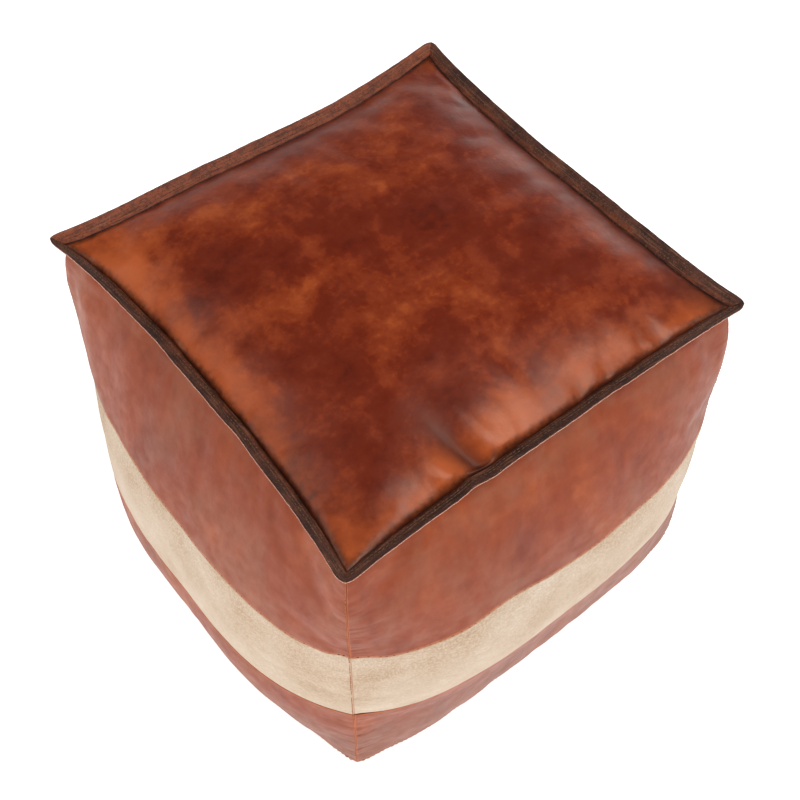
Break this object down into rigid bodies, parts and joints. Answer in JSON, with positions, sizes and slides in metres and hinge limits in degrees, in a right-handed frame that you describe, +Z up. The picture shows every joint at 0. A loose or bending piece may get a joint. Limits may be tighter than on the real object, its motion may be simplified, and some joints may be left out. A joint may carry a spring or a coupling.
{
  "type": "moroccan leather pouf",
  "caption": "Square stuffed leather floor pouf with a padded top, a stitched rim that stands out, a pale stripe round its sides and a zip across its base.",
  "frame": {"origin": "middle of the base's outline, on the plane that the base rests on", "axes": "+Z up; -Y out of the front side, +X out of the right side; the zip runs along X"},
  "size_m": [0.5796, 0.5796, 0.4558],
  "materials": {
    "top_leather": "waxed, glossy, mottled",
    "side_leather": "satin",
    "stripe_suede": "napped suede, matte",
    "base_leather": "satin",
    "tan_thread": "waxed thread",
    "grey_thread": "waxed thread",
    "bag_cotton": "plain cotton",
    "stuffing": "loose wadding",
    "zip_tape": "woven tape",
    "zip_coil": "satin",
    "zip_metal": "dull brass"
  },
  "bodies": {
    "pouf": {"top_panel": "top_leather", "upper_band_front": "side_leather", "upper_band_right": "side_leather", "upper_band_back": "side_leather", "upper_band_left": "side_leather", "stripe_front": "stripe_suede", "stripe_right": "stripe_suede", "stripe_back": "stripe_suede", "stripe_left": "stripe_suede", "lower_band_front": "side_leather", "lower_band_right": "side_leather", "lower_band_back": "side_leather", "lower_band_left": "side_leather", "base_panel_front": "base_leather", "base_panel_back": "base_leather", "corner_seam_threads": "tan_thread", "stripe_upper_thread": "tan_thread", "stripe_lower_thread": "tan_thread", "base_seam_thread": "tan_thread", "rim_outer_thread": "grey_thread", "rim_inner_thread": "grey_thread", "zip_stitching": "grey_thread", "inner_bag": "bag_cotton", "stuffing": "stuffing", "zip_tape_front": "zip_tape", "zip_tape_back": "zip_tape", "zip_coil_front": "zip_coil", "zip_coil_back": "zip_coil", "zip_top_stops": "zip_metal", "zip_bottom_stop": "zip_metal"},
    "zip_slider": {"zip_slider": "zip_metal"},
    "zip_pull": {"zip_pull": "zip_metal"}
  },
  "joints": [
    {"name": "zip_slide", "type": "slide", "parent": "pouf", "child": "zip_slider", "axis": [-1, 0, 0], "range_m": [0, 0.345]},
    {"name": "zip_pull_hinge", "type": "hinge", "parent": "zip_slider", "child": "zip_pull", "pos_m": [0.173, 0, 0.0027], "axis": [0, -1, 0], "range_deg": [0, 180]}
  ]
}
